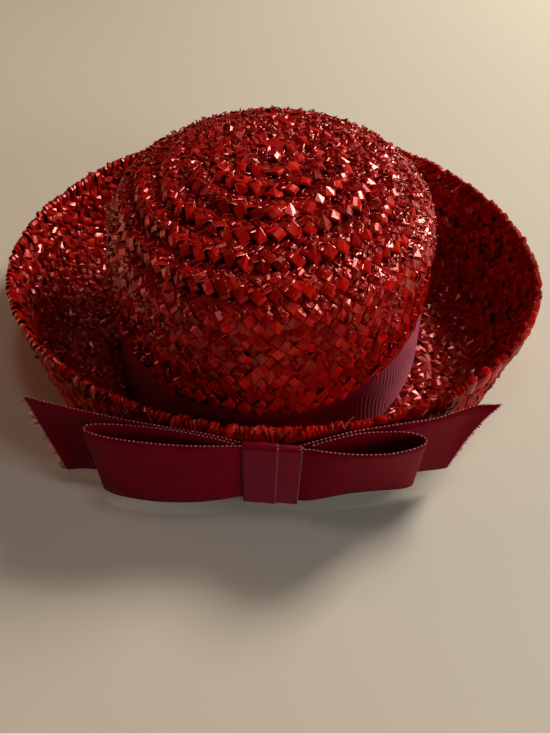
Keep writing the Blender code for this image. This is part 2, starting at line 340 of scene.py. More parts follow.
flat_straw = straw_finish("flat_straw")
inner_straw = straw_finish("inner_straw", (0.23, 0.38), coat=0.25)
outer_straw = straw_finish("outer_straw", (0.35, 0.50), coat=0.0, mirror=0.15)
edge_straw = straw_finish("edge_straw", coat=0.15, lines=3.0, depth=0.35)
painted_shade_core_straw = straw_finish("painted_shade_core_straw", (0.6, 0.8), 0.0, 1.2, 0.5, 0.1, CORE_PAINTED_SHADE_TONES)
print("finishes:", *(made.name for made in (flat_straw, inner_straw, outer_straw, edge_straw, painted_shade_core_straw)))

# %% [markdown]
# Under the braid lies the hat's own wall. It shows only in the gaps between the strips, and its
# dark red is painted shade there. A grid from create_grid is laid over the shape by moving its
# vertices, its seam and its pole are welded, and Solidify gives it a wall inside the thickness of
# the solid.

# %% Dark core of the crown and brim
CORE_WALL, CORE_DEPTH, BRIM_CORE_WALL = 0.0012, 0.0022, 0.0008
FOOT_LAP = 0.04              # share of the brim that goes on inside the crown's foot


def dress(name, mesh, material, slot, node=None):
    """Puts a mesh into the scene as a piece of the hat, which may stand for a solid."""
    mesh.materials.append(material)
    piece = bpy.data.objects.new(name, mesh)
    bpy.context.scene.collection.objects.link(piece)
    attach(piece, "root")
    if node:
        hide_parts(node)
    return piece


def sheet_piece(name, columns, rows, place, size, wall, offset, *dressing):
    """A sheet whose points go where place(u, v) says, welded where its edges meet.

    Its flat coordinates run to size, in millimetres, and Solidify gives it its wall.
    """
    bm = bmesh.new()
    bm.loops.layers.uv.new("strip")
    bmesh.ops.create_grid(bm, x_segments=columns, y_segments=rows, size=0.5, calc_uvs=True)
    flat = np.array([vert.co for vert in bm.verts])
    for vert, point in zip(bm.verts, place(flat[:, 0] + 0.5, flat[:, 1] + 0.5)):
        vert.co = point
    bmesh.ops.remove_doubles(bm, verts=bm.verts, dist=1e-6)
    mesh = bpy.data.meshes.new(name)
    bm.to_mesh(mesh)
    bm.free()
    mesh.shade_smooth()
    corners = mesh.uv_layers["strip"].data
    spots = np.empty(2 * len(corners))
    corners.foreach_get("uv", spots)
    corners.foreach_set("uv", (spots.reshape(-1, 2) * size).ravel())
    piece = dress(name, mesh, *dressing)
    solid = piece.modifiers.new("wall", "SOLIDIFY")
    solid.thickness, solid.offset = wall, offset
    print(f"{name}: {len(mesh.vertices)} points, {size[0]:.0f} by {size[1]:.0f} mm")
    return piece


def crown_core(u, v):
    """The wall from the crown's foot up behind the ribbon, then over the dome."""
    t, foot_share = 2.0 * math.pi * u, 0.2
    up = np.clip((v - foot_share) / (1.0 - foot_share), 0.0, 1.0)
    point, _, _, normal = surface_frame(crown_surface, np.minimum(up, 0.9995), t)
    point = np.where((up >= 1.0)[:, None], (0.0, TOP_CENTRE, CROWN_TOP), point)
    normal = np.where((up >= 1.0)[:, None], (0.0, 0.0, 1.0), normal)
    foot = JOIN_HEIGHT + STRAW + (BAND_LINE - JOIN_HEIGHT - STRAW) * v / foot_share + dip(t, BAND_LINE)
    point[:, 2] = np.where(v < foot_share, foot, point[:, 2])
    return point - normal * CORE_DEPTH


def brim_core(u, v):
    t, out = 2.0 * math.pi * u, v * (1.0 + FOOT_LAP) - FOOT_LAP
    normal = surface_frame(brim_surface, np.maximum(out, 0.0), t)[3]
    return brim_surface(out, t) - normal * 0.5 * STRAW


sheet_piece("crown_core", 120, 50, crown_core, (560.0, 160.0), CORE_WALL, -1.0, painted_shade_core_straw, "straw")
sheet_piece("brim_core", 140, 36, brim_core, (700.0, 90.0), BRIM_CORE_WALL, 0.0, painted_shade_core_straw, "straw")

# %% [markdown]
# The braid is plaited from flat strips that cross at 45 degrees, so what shows of each strip
# is a small square standing on its corner, with its ends going under its neighbours. One such
# square is made once: a grid whose middle is flat, whose ends dive and whose long edges are
# turned down, so that they catch the light as bright lines. No two are alike on the real hat,
# so others are arched, creased, wound or folded over a corner. For a fold, bisect_plane first
# cuts the grid from corner to corner. Inside the brim they are chips, each arched or creased
# and wound, which stay flat-shaded so that they glint like cut glass. Thin shreds stand out
# where the plait is crushed. solidify closes each one.

# %% One visible square of straw
STRIP = 0.0048               # width of a strip
STRIP_WALL = 0.00032
PLAIT_STEP = STRIP / math.sqrt(2.0)
# As shares of that width: half of its flat middle, of its length and of its width, and where
# its edge turns down.
FLAT_END, DIVE_END, EDGE, TURN = 0.44, 0.68, 0.485, 0.41
RISE, DIVE, EDGE_TURN, TOOTH_TURN = 0.00055, 0.00100, 0.00016, 0.0010


def grid_at(xs, ys, scale=1.0):
    """A flat grid with lines at the given places."""
    bm = bmesh.new()
    bmesh.ops.create_grid(bm, x_segments=len(xs) - 1, y_segments=len(ys) - 1, size=0.5)
    for vert in bm.verts:
        column, row = round((vert.co.x + 0.5) * (len(xs) - 1)), round((vert.co.y + 0.5) * (len(ys) - 1))
        vert.co = (scale * xs[column], scale * ys[row], 0.0)
    return bm


def solid_points(bm, thickness=None):
    """Gives a sheet a wall below itself and returns its points and faces."""
    if thickness:
        bm.normal_update()
        bmesh.ops.solidify(bm, geom=bm.faces, thickness=thickness)
    bm.verts.index_update()
    points = np.array([vert.co for vert in bm.verts])
    faces = [[vert.index for vert in face.verts] for face in bm.faces]
    bm.free()
    return points, faces


def straw_square(fine, bow=0.0, crease=0.0, twist=0.0, fold=0.0, way=1.0, tooth=False):
    """A strip over one crossing, whose fold runs from corner to corner on the side that way says.

    Only a fine one has turned edges. A tooth lies at the lower edge of a row, so one of its
    long sides is turned under too.
    """
    xs = [-DIVE_END, -FLAT_END, FLAT_END, DIVE_END] + [0.0] * (bow != 0.0)
    ys = [-EDGE, EDGE] + [-TURN, TURN] * fine + [0.0] * (crease != 0.0)
    bm = grid_at(sorted(xs), sorted(ys), STRIP)
    if fold:
        bmesh.ops.bisect_plane(bm, geom=bm.verts[:] + bm.edges[:] + bm.faces[:], dist=1e-7,
                               plane_co=(0.0, 0.0, 0.0), plane_no=(1.0, way, 0.0))
    for vert in bm.verts:
        x, y = vert.co.x / STRIP, vert.co.y / STRIP
        dive = DIVE * max(0.0, (abs(x) - FLAT_END) / (DIVE_END - FLAT_END))
        turned = EDGE_TURN if fine and abs(y) > 0.45 else 0.0
        if tooth and y * way > 0.45:
            turned = TOOTH_TURN
        arch = 1.0 - (x / FLAT_END) ** 2 if abs(x) < FLAT_END else 0.0
        vert.co.z = RISE + bow * arch - dive - turned
        vert.co.z += crease * (0.4 - abs(y)) + twist * x * y + fold * (0.4 - abs(x + way * y))
    return solid_points(bm, STRIP_WALL)


def straw_crumple(fine, folds, depth, seed):
    """A strip crushed into small uneven folds, as where the plait is pulled tight."""
    chance = np.random.default_rng(seed)
    xs = np.linspace(-0.62, 0.62, folds + 2)
    ys = (-0.47, -0.16, 0.16, 0.47) if fine else (-0.47, 0.0, 0.47)
    bm = grid_at(xs, ys, STRIP)
    reach = 0.3 * STRIP * (xs[1] - xs[0])
    for vert in bm.verts:
        x = abs(vert.co.x) / STRIP
        vert.co.x += chance.uniform(-reach, reach)
        vert.co.y += chance.uniform(-reach, reach)
        vert.co.z = 0.00040 + depth * chance.uniform(-1.0, 1.0) - 0.0009 * max(0.0, (x - 0.45) / 0.2)
    return solid_points(bm, STRIP_WALL)


SQUARES = [
    {}, {"bow": 0.0005}, {"crease": 0.0012}, {"crease": -0.0009}, {"twist": 0.0022},
    {"bow": 0.0003, "twist": -0.0022}, {"bow": -0.0004}, {"fold": 0.0011},
    {"fold": 0.0010, "way": -1.0}, {"fold": -0.0008},
]
CRUMPLES = [
    # folds, depth, seed
    (4, 0.00055, 3), (4, 0.00070, 8), (3, 0.00070, 5), (4, 0.00045, 12), (3, 0.00060, 17), (4, 0.00065, 23),
]
TEETH = [
    {"fold": 0.0012}, {"bow": 0.0004, "crease": 0.0008}, {"bow": 0.0006}, {"fold": 0.0010, "twist": 0.0014},
]
CHIP_BOW, CHIP_CREASE, CHIP_TWIST = (0.0004, 0.0009), (0.0008, 0.0020), (-0.0030, 0.0030)
SHREDS = [
    # bow, twist, bend in its own plane
    (0.0008, 0.016, 0.8), (0.0011, -0.020, -1.1), (0.0006, 0.028, 0.4),
    (0.0013, 0.010, -0.6), (0.0005, -0.014, 1.3), (0.0009, -0.030, -0.3),
]
FIRST_TOOTH = len(SQUARES) + len(CRUMPLES)


def straw_shapes(fine):
    shapes = [straw_square(fine, **bent) for bent in SQUARES]
    shapes += [straw_crumple(fine, *crushed) for crushed in CRUMPLES]
    return shapes + [straw_square(fine, tooth=True, **bent) for bent in TEETH]


def straw_shred(bow, twist, bent):
    """A torn piece of strip, narrow and curled."""
    bm = grid_at((-0.40, -0.20, 0.0, 0.20, 0.40), (-0.09, 0.09), STRIP)
    for vert in bm.verts:
        x, y = vert.co.x / STRIP, vert.co.y / STRIP
        vert.co.y += bent * STRIP * (0.16 - x * x)
        vert.co.z = 0.0008 + bow * (1.0 - (x / 0.4) ** 2) + twist * x * y
    return solid_points(bm, 0.00022)


FINE, COARSE = straw_shapes(True), straw_shapes(False)
SOFT = [len(SQUARES) <= pick < FIRST_TOOTH for pick in range(len(FINE))]
chance = np.random.default_rng(9)
CHIPS = [straw_square(False, chance.uniform(*CHIP_BOW) * arched, chance.uniform(*CHIP_CREASE) * (1 - arched),
                      chance.uniform(*CHIP_TWIST)) for arched in (0, 1) * 5] + COARSE[len(SQUARES):]
SHRED_SHAPES = [straw_shred(*bent) for bent in SHREDS]
for kind, shapes in (("fine", FINE), ("coarse", COARSE), ("inside the brim", CHIPS)):
    print("faces of each shape,", kind + ":", [len(faces) for points, faces in shapes])

# %% [markdown]
# Thousands of these squares are needed, so they are joined straight into one mesh from arrays:
# each copy is the same points turned and placed by its own matrix. Every copy keeps a tone of
# its own, and flat coordinates in millimetres for the fine lines.

# %% Join many copies
def join_copies(name, shapes, picks, places, tones, material, node=None, slot="straw", smooth=False):
    """One piece from copies of shapes: picks says which shape, places is its 3 by 4 matrix.

    node is the solid that it stands for. smooth is one flag for all the shapes or one for each.
    """
    points, faces, owner, spots = [], [], [], []
    start = 0
    for copy, (pick, place) in enumerate(zip(picks, places)):
        shape_points, shape_faces = shapes[pick]
        points.append(shape_points @ place[:, :3].T + place[:, 3])
        faces.extend([start + index for index in face] for face in shape_faces)
        owner.extend([copy] * len(shape_faces))
        spots.append(shape_points[:, :2] / MM + (7.31 * copy % 97.0, 3.77 * copy % 61.0))
        start += len(shape_points)
    points, spots = np.vstack(points), np.vstack(spots)
    points[:, 2] = np.maximum(points[:, 2], 0.0)      # what stands on the floor is pressed flat
    mesh = bpy.data.meshes.new(name)
    mesh.from_pydata(points, [], faces)
    tone = mesh.attributes.new("tone", "FLOAT", "FACE")
    tone.data.foreach_set("value", np.asarray(tones)[owner].astype(np.float32))
    corners = np.empty(len(mesh.loops), dtype=np.int32)
    mesh.loops.foreach_get("vertex_index", corners)
    layer = mesh.uv_layers.new(name="strip")
    layer.data.foreach_set("uv", spots[corners].astype(np.float32).ravel())
    smooth = np.broadcast_to(np.asarray(smooth, dtype=bool), len(shapes))
    mesh.polygons.foreach_set("use_smooth", smooth[np.asarray(picks)][owner])
    piece = dress(name, mesh, material, slot, node)
    print(f"{name}: {len(picks)} copies, {sum(len(face) - 2 for face in faces)} triangles")
    return piece

# %% [markdown]
# The braid winds round the hat as one spiral, so each row is a little lower at its end than at
# its start. Going along it, a column of squares is laid every two plait steps, and the squares
# of every other line are moved by one step and lean the other way. A row's lower edge stands
# proud over the next row, which gives the hat its saw-toothed steps. Low on the crown a further
# line is tucked in under the joins of the rows, so that no gap shows between them.

# %% Lay the braid
LINES = 4                    # lines of squares across a row of braid
SIZES, SPIN = (0.94, 1.16), 9.0
# Painted light and shade in the straw's tone: crushed squares are darkened, and on the crown the first line
# of each row is made twice as bright.
TONE, TONE_SPREAD, CRUSHED_PAINTED_SHADE = 0.34, 0.22, 0.45
TEETH_RATE, TOOTH_SIZE, TOOTH_PAINTED_LIGHT = 0.92, 0.90, 2.0


def lay_braid(surface, turns, side, lift, tilt, crumpled, seed, depth=0.0, lowest=0.004, highest=0.994,
              lump=0.0002, teeth=False, wobble=0.05, lines=range(LINES)):
    """Places for squares along a spiral; side is which way the normal is used.

    lift gives how far a square stands out, from its share of the way across its row, and
    crumpled how many are crushed, which are more in some places than in others. wobble is how
    far the rows stray, as a share of a row. lines says which lines of each row are laid.
    """
    chance = np.random.default_rng(seed)
    row_share = 1.0 / turns
    angle, columns = -2.0 * math.pi, []
    while angle < 2.0 * math.pi * turns:
        across = np.array([np.clip((angle / (2.0 * math.pi) + 0.5) * row_share, 0.001, 0.995)])
        reach = np.linalg.norm(surface_frame(surface, across, np.array([angle]))[1])
        step = 2.0 * PLAIT_STEP / max(reach, 0.004)
        columns.append((angle, step))
        angle += step
    columns = np.array(columns)
    places, tones, picks, spots = [], [], [], []
    for line in lines:
        share = (line + 0.5) / LINES
        t = columns[:, 0] + (0.5 * columns[:, 1] if line % 2 else 0.0)
        stray = wobble * (np.sin(5.0 * t + 2.0 * np.sin(2.3 * t)) + 0.5 * np.sin(13.0 * t))
        across = (t / (2.0 * math.pi) + share + stray) * row_share
        keep = (across > lowest) & (across < highest)
        t, across, step = t[keep], across[keep], columns[keep, 1]
        point, round_way, cross_way, normal = surface_frame(surface, across, t)
        normal = normal * side
        low, high = lift(share - 0.5 / LINES, across, t), lift(share + 0.5 / LINES, across, t)
        u_way = round_way * (0.5 * step)[:, None]
        v_way = cross_way * (row_share / LINES) + normal * (high - low)[:, None]
        lean = 1.0 if line % 2 else -1.0
        strip_way, wide_way = v_way + lean * u_way, lean * v_way - u_way
        if side < 0.0:
            wide_way = -wide_way
        count = len(t)
        cluster = np.sin(9.0 * t + 40.0 * across) * np.sin(23.0 * t - 31.0 * across) > 0.0
        rough = chance.random(count) < crumpled(share, across) * np.where(cluster, 1.5, 0.5)
        pick = np.where(rough, len(SQUARES) + chance.integers(0, len(CRUMPLES), count),
                        chance.integers(0, len(SQUARES), count))
        first_line = teeth and line == 0
        if first_line:
            tooth = chance.integers(0, len(TEETH), count)
            pick = np.where(chance.random(count) < TEETH_RATE, FIRST_TOOTH + tooth, pick)
        tips = chance.uniform(-1.0, 1.0, (count, 2)) * tilt * np.where(rough, 1.5, 1.0)[:, None]
        tips = np.tan(np.radians(tips))
        size = chance.uniform(*SIZES, count) * (TOOTH_SIZE if first_line else 1.0) / STRIP
        spin = np.radians(chance.uniform(-SPIN, SPIN, count))
        cos, sin = (size * np.cos(spin))[:, None], (size * np.sin(spin))[:, None]
        x_way = strip_way * cos + wide_way * sin + normal * tips[:, :1]
        y_way = wide_way * cos - strip_way * sin + normal * tips[:, 1:]
        stand = 0.5 * (low + high) - depth + np.abs(chance.normal(0.0, lump, count))
        centre = point + normal * stand[:, None]
        places.append(np.stack([x_way, y_way, normal, centre], axis=-1))
        # Painted light and shade: on the crown the first line of a row is brightened, and the lines above it
        # darken upward.
        shade = TOOTH_PAINTED_LIGHT if first_line else 0.85 - 0.25 * share if teeth else 1.0
        tone = np.clip(chance.normal(TONE, TONE_SPREAD, count), 0.0, 0.9)
        tones.append(np.clip(tone * np.where(rough, CRUSHED_PAINTED_SHADE, 1.0) * shade, 0.0, 1.0))
        picks.append(pick)
        spots.append(across)
    return np.vstack(places), np.concatenate(tones), np.concatenate(picks), np.concatenate(spots)


# %% Braid on the outside of the crown
CROWN_TURNS = 10.1
FLAT_BELOW = 0.26            # share of the way up, below which the braid lies flatter
DOME_FROM = 0.42             # where the lower piece of the braid ends and the upper begins


def crown_lift(share, up, t):
    """Each row leans out from its tucked upper edge to its proud lower one, most at the front."""
    strength = np.interp(up, (0.0, FLAT_BELOW, FLAT_BELOW + 0.1, 0.8, 1.0), (0.3, 0.4, 1.0, 0.9, 0.5))
    strength = strength * (0.85 - 0.15 * np.sin(t) + 0.12 * np.sin(3.0 * t + 20.0 * up))
    over = 0.0018 * np.clip(1.0 - up / 0.03, 0.0, 1.0)
    return strength * np.interp(share, (0.0, 0.22, 1.0), (0.0005, 0.0019, -0.0017)) + over


def crown_crumpled(share, up):
    rate = np.where(up < FLAT_BELOW + 0.1, 0.22, 0.12 if share < 0.4 else 0.50)
    return rate * np.where(up > 0.85, 0.5, 1.0)


def crown_button(count=6):
    """A few squares over the middle of the top, where the spiral begins."""
    places = []
    for turned in np.linspace(0.0, 2.0 * math.pi, count, endpoint=False):
        x_way, y_way = (math.cos(turned), math.sin(turned), -0.15), (-math.sin(turned), math.cos(turned), 0.1)
        centre = (0.0022 * math.cos(turned), TOP_CENTRE + 0.0022 * math.sin(turned), CROWN_TOP + 0.0002)
        places.append(np.stack([x_way, y_way, (0.0, 0.0, 1.0), centre], axis=-1))
    return np.array(places)


places, tones, picks, ups = lay_braid(
    crown_surface, CROWN_TURNS, 1.0, crown_lift, 11.0, crown_crumpled, seed=11, depth=0.0006,
    lowest=-0.015, teeth=True, lump=0.0004, wobble=0.09)
button = crown_button()
places, ups = np.vstack([places, button]), np.append(ups, np.ones(len(button)))
tones, picks = np.append(tones, np.full(len(button), 0.3)), np.append(picks, np.arange(len(button)))
for name, part in (("crown_braid_wall", ups < DOME_FROM), ("crown_braid_dome", ups >= DOME_FROM)):
    join_copies(name, FINE, picks[part], places[part], tones[part], flat_straw, "crown", smooth=SOFT)

# %% [markdown]
# Three more layings finish the crown: torn shreds that stand out between the squares, a line of
# squares tucked under the joins of the lower rows, and the plainer braid that shows inside.

# %% Shreds, tucks and inside of the crown
places, tones, _, ups = lay_braid(
    crown_surface, CROWN_TURNS, 1.0, crown_lift, 26.0, crown_crumpled, seed=14, depth=0.0003,
    lump=0.0003, wobble=0.09, lines=(1, 2, 3))
chance = np.random.default_rng(15)
rate = np.interp(ups, (FLAT_BELOW, FLAT_BELOW + 0.1, 0.7, 0.9), (0.4, 0.9, 0.9, 0.4))
part = chance.random(len(places)) < rate
picks = chance.integers(0, len(SHREDS), part.sum())
# Painted shade: the shreds between the rows are darkened to 0.7 of their tone.
join_copies("crown_shreds", SHRED_SHAPES, picks, places[part], 0.7 * tones[part], flat_straw, "crown",
            smooth=True)
places, tones, picks, _ = lay_braid(
    crown_surface, CROWN_TURNS, 1.0, crown_lift, 8.0, crown_crumpled, seed=16, depth=0.0013,
    highest=FLAT_BELOW + 0.1, lines=(-0.5,))
# Painted shade: the squares tucked under the joins are darkened to half their tone.
join_copies("crown_braid_tucks", COARSE, picks, places, 0.5 * tones, flat_straw, "crown", smooth=SOFT)
places, tones, picks, _ = lay_braid(
    crown_surface, CROWN_TURNS, -1.0, lambda share, up, t: 0.0 * up, 8.0, lambda share, up: 0.1,
    seed=12, depth=-0.0032)
join_copies("crown_braid_inside", COARSE, picks, places, tones, flat_straw, "crown")

# %% [markdown]
# The brim is the same braid in seven turns. Its inside faces the eye, so it has the chips, and
# glossier straw towards the edge. Its outside lies flatter, most of all where the hat stands.

# %% Braid on the brim, inside and outside
BRIM_TURNS, BRIM_CRUSHED = 7, 0.25
GUTTER_TO = 0.55             # where the inside's lower piece ends and its upper begins


def inner_lift(share, out, t):
    return np.interp(share, (0.0, 0.8, 1.0), (-0.0004, 0.0008, 0.0005)) + 0.0 * out


def outer_lift(share, out, t):
    """As on the crown, but less where the hat stands on the floor."""
    pressed = np.interp(out, (0.5, 0.62), (0.0011, 0.0))
    return np.interp(share, (0.0, 0.2, 1.0), (0.0007, 0.0009, -0.0001)) - pressed


places, tones, picks, outs = lay_braid(
    brim_surface, BRIM_TURNS, -1.0, inner_lift, 13.0, lambda share, out: BRIM_CRUSHED, seed=21,
    depth=-0.0016, highest=0.955, lump=0.0005, wobble=0.1)
tones = tones * np.interp(outs, (0.45, 0.80), (0.4, 1.2))      # painted shade at the foot of the gutter, painted light up the wall
for name, part, straw in (("brim_braid_gutter", outs < GUTTER_TO, flat_straw),
                          ("brim_braid_wall", outs >= GUTTER_TO, inner_straw)):
    join_copies(name, CHIPS, picks[part], places[part], tones[part], straw, "brim", smooth=SOFT)
places, tones, picks, _ = lay_braid(
    brim_surface, BRIM_TURNS, 1.0, outer_lift, 10.0, lambda share, out: BRIM_CRUSHED, seed=31,
    depth=0.0009, highest=0.955)
join_copies("brim_braid_outside", COARSE, picks, places, tones, outer_straw, "brim", smooth=SOFT)

# %% [markdown]
# At the edge of the brim the strips turn back over the edge, one slanting loop after another.
# A loop is a strip of grid bent over the edge like a hairpin: down the inside, over, and down
# the outside. At the front some are wide fans of pleats, which break the row up.

# %% Loops over the brim's edge
LOOP_PITCH, FAN_PITCH = 0.0036, 0.0056
EDGE_ROUND = 0.00140
LOOP_CENTRE = (-0.00160, -0.0012)      # out from the under side, and up from the edge


def edge_loop(width, rise, slant, leg, tilted, seed, ridges):
    """A hairpin of straw: X along the edge, Y up, Z out of the hat.

    One of its sides stands higher, as tilted says, so that it laps over its neighbour. A fan has
    uneven ridges, which spread towards the top.
    """
    chance = np.random.default_rng(seed)
    wides = np.linspace(-1.0, 1.0, 2 * ridges + 3)
    pleats = np.where(np.arange(len(wides)) % 2, 1.0, -1.0) * chance.uniform(0.1, 0.4, len(wides))
    pleats = pleats * (ridges > 1)
    bm = grid_at([-1.0 - leg, -1.0, -0.5, 0.0, 0.5, 1.0, 1.0 + leg], list(wides))
    for vert in bm.verts:
        way, wide = vert.co.x, vert.co.y
        turn = 0.5 * math.pi * min(max(way, -1.0), 1.0)
        past = max(abs(way) - 1.0, 0.0) * MM
        pleat = pleats[int(np.argmin(np.abs(wides - wide)))]
        pinch = 0.4 + 0.55 * tilted * wide - (0.9 - 0.6 * abs(tilted)) * wide * wide + pleat
        pinch = EDGE_ROUND + rise * pinch
        pinch += 0.35 * min(past, MM) - 0.08 * past
        out = LOOP_CENTRE[0] + pinch * math.sin(turn)
        up = LOOP_CENTRE[1] + pinch * math.cos(turn) - past
        spread = 1.0 - (0.45 if ridges > 1 else 0.10) * abs(way) / (1.0 + leg)
        vert.co = (0.5 * width * wide * spread + slant * (way / (1.0 + leg)), up, out)
    bm.normal_update()
    heart = Vector((0.0, LOOP_CENTRE[1], LOOP_CENTRE[0]))
    if sum(face.normal.dot(face.calc_center_median() - heart) for face in bm.faces) < 0.0:
        bmesh.ops.reverse_faces(bm, faces=bm.faces)
    return solid_points(bm, STRIP_WALL)


EDGE_LOOPS = [
    # width, rise, slant, leg, tilted, seed, ridges
    (0.0047, 0.0020, -0.0038, 4.4, 1.0, 1, 1), (0.0043, 0.0018, -0.0030, 4.0, 1.0, 2, 1),
    (0.0051, 0.0017, -0.0044, 4.8, 1.0, 3, 1), (0.0044, 0.0022, -0.0026, 4.2, 0.8, 4, 1),
]
FANS = [
    (0.0074, 0.0017, -0.0014, 4.2, 0.3, 5, 2), (0.0066, 0.0017, -0.0034, 4.6, -0.6, 6, 2),
    (0.0078, 0.0016, 0.0012, 4.0, -0.2, 7, 3), (0.0060, 0.0018, -0.0022, 4.4, 0.7, 8, 1),
]
chance = np.random.default_rng(41)
t, places, tones, picks = 0.0, [], [], []
while t < 2.0 * math.pi:
    place, round_way, up_way, out_way = (part[0] for part in surface_frame(
        brim_surface, np.array([1.0]), np.array([t])))
    reach = np.linalg.norm(round_way)
    fan = chance.random() < 1.5 * max(0.0, -math.sin(t) - 0.25)
    along, up = round_way / reach, unit(up_way)
    high = chance.uniform(-0.0006, 0.0006)
    lean = math.tan(math.radians(chance.uniform(-24.0, 24.0)))
    x_way = along + 0.6 * lean * up + out_way * chance.uniform(-0.3, 0.3)
    y_way = up * chance.uniform(0.80, 1.10) + along * chance.uniform(-0.4, 0.4)
    places.append(np.stack([x_way, y_way, out_way * chance.uniform(0.75, 1.0), place + up * high], axis=-1))
    tones.append(float(np.clip(chance.normal(0.3, 0.2), 0.0, 0.9)))
    picks.append(int(chance.integers(0, len(EDGE_LOOPS))) + len(EDGE_LOOPS) * fan)
    t += (FAN_PITCH if fan else LOOP_PITCH) / reach * chance.uniform(0.80, 1.15)
join_copies("brim_edge_loops", [edge_loop(*bent) for bent in EDGE_LOOPS + FANS], picks, places, tones,
            edge_straw, "brim")

# %% [markdown]
# The ribbons are grosgrain, a stiff ribbon with fine ribs across its width. Each is a sheet on
# edge between its top and bottom line. The ribs are real: the sheet's lines stand in and out in
# turn. The material adds the threads between them, in the ribbon's own flat coordinates.

# %% Grosgrain
RIB = 0.0010                 # from rib to rib
RIB_RISE = 0.00006
RIBBON_WALL = 0.00045


def grosgrain_group():
    group, given, result, place, parts = new_group(
        "grosgrain", {"Ribs per mm": 1.0, "Threads per mm": 3.2, "Depth": 0.35}, ["Rib", "Cloud", "Streak"])
    waves = []
    for axis, rate in (("X", "Ribs per mm"), ("Y", "Threads per mm")):
        turns = calc(group, "MULTIPLY", parts[axis], given[rate])
        wave = calc(group, "COSINE", calc(group, "MULTIPLY", turns, 2.0 * math.pi))
        waves.append(calc(group, "MULTIPLY_ADD", wave, 0.5, 0.5))
    height = calc(group, "MULTIPLY_ADD", waves[1], 0.3, waves[0])
    bump = add_node(group, "Bump", Distance=0.0001, Strength=given["Depth"], Height=height)
    cloud = add_node(group, "TexNoise", Vector=place, Scale=0.12, Detail=2.0)
    long = add_node(group, "CombineXYZ", X=calc(group, "MULTIPLY", parts["X"], 1.1),
                    Y=calc(group, "MULTIPLY", parts["Y"], 0.05))[0]
    streak = add_node(group, "TexNoise", Vector=long, Scale=1.0, Detail=2.0, Roughness=0.7)
    set_inputs(group, result, Rib=height, Cloud=cloud["Fac"], Streak=streak["Fac"], Normal=bump[0])
    return group


GROSGRAIN = grosgrain_group()
WINE_TONES = (0.075, 0.0003, 0.0028, 1.0), (0.255, 0.0012, 0.0130, 1.0)


def ribbon_finish(name, sheen):
    material = plain_finish(name, WINE_TONES[1], roughness=0.62)
    tree = material.node_tree
    cloth = add_node(tree, "Group", node_tree=GROSGRAIN)
    # Painted shade: the colour darkens in the valleys between the ribs, mixed with random streaks along them,
    # over a random cloud.
    ribs = calc(tree, "MULTIPLY", cloth["Rib"], cloth["Streak"])
    tone = calc(tree, "MULTIPLY_ADD", cloth["Cloud"], 0.4, ribs, use_clamp=True)
    set_inputs(tree, tree.nodes["Principled BSDF"], Base_Color=mix_colours(tree, WINE_TONES, tone),
               Normal=cloth["Normal"], Specular_IOR_Level=0.2, Specular_Tint=(0.9, 0.08, 0.20, 1.0),
               Sheen_Weight=sheen, Sheen_Roughness=0.4, Sheen_Tint=(0.95, 0.26, 0.38, 1.0))
    return material


def thread_finish(name, *tones):
    """Thread whose every stitch or end has its own tone."""
    material = plain_finish(name, tones[1], roughness=0.5)
    tree = material.node_tree
    colour = mix_colours(tree, tones, tone_and_painted_shading(tree))
    set_inputs(tree, tree.nodes["Principled BSDF"], Base_Color=colour)
    return material


bow_ribbon = ribbon_finish("bow_grosgrain", sheen=0.0)
knot_ribbon = ribbon_finish("knot_grosgrain", sheen=0.85)
band_ribbon = ribbon_finish("band_grosgrain", sheen=0.65)
picot_thread = thread_finish("picot_thread", (0.16, 0.04, 0.04, 1.0), (0.46, 0.20, 0.19, 1.0))
frayed_thread = thread_finish("frayed_thread", (0.26, 0.040, 0.050, 1.0), (0.92, 0.42, 0.40, 1.0))
loose_thread = thread_finish("loose_thread", (0.10, 0.07, 0.06, 1.0), (0.30, 0.24, 0.22, 1.0))

# %% [markdown]
# The bow is two lengths of ribbon: one bent into both loops, one laid flat behind for the
# tails. Each row below is where the ribbon's middle lies in plan, at its top and at its bottom
# edge, in millimetres. A smooth curve goes through the rows.

# %% Paths of the bow
LOOP_STRIP = [
    # x top, y top, z top, x bottom, y bottom, z bottom
    (-4.2, -130.2, 44.2, -4.2, -130.0, 9.5),
    (-16.0, -128.5, 45.6, -16.0, -128.4, 9.3),
    (-33.0, -127.0, 46.6, -32.0, -126.9, 9.0),
    (-48.0, -126.3, 46.6, -46.0, -126.4, 9.0),
    (-60.0, -127.1, 47.0, -57.5, -127.4, 9.0),
    (-65.4, -128.2, 47.0, -62.4, -128.8, 9.0),
    (-66.6, -129.9, 47.0, -63.6, -130.7, 9.0),
    (-65.0, -131.6, 47.0, -62.0, -132.6, 9.0),
    (-56.0, -133.9, 47.0, -55.0, -134.9, 9.0),
    (-40.0, -135.3, 47.0, -40.0, -136.4, 9.0),
    (-24.0, -134.8, 46.4, -24.0, -135.6, 9.2),
    (-11.0, -132.9, 45.3, -11.0, -133.2, 9.4),
    (-3.2, -130.9, 44.0, -3.2, -130.9, 9.6),
    (2.0, -130.3, 43.5, 2.0, -130.3, 9.7),
    (12.0, -130.3, 43.5, 12.0, -130.3, 9.8),
    (21.5, -130.3, 43.7, 21.5, -130.3, 9.8),
    (27.0, -131.1, 45.3, 26.5, -130.6, 10.0),
    (35.0, -133.2, 46.9, 34.0, -129.2, 10.7),
    (46.0, -134.6, 48.5, 45.0, -126.3, 11.7),
    (58.0, -133.3, 48.7, 58.0, -123.8, 12.1),
    (67.0, -130.2, 48.7, 67.5, -122.0, 12.1),
    (72.0, -127.3, 48.7, 72.4, -120.2, 12.1),
    (73.6, -124.9, 48.7, 73.7, -118.3, 12.1),
    (72.0, -122.6, 48.7, 72.0, -116.7, 12.1),
    (66.5, -121.1, 48.7, 66.5, -116.6, 12.1),
    (59.0, -121.3, 48.5, 59.0, -118.0, 11.9),
    (47.0, -123.2, 48.3, 47.0, -123.2, 11.5),
    (36.0, -126.6, 47.3, 36.0, -126.7, 10.9),
    (28.0, -128.9, 45.4, 28.0, -128.8, 10.3),
]
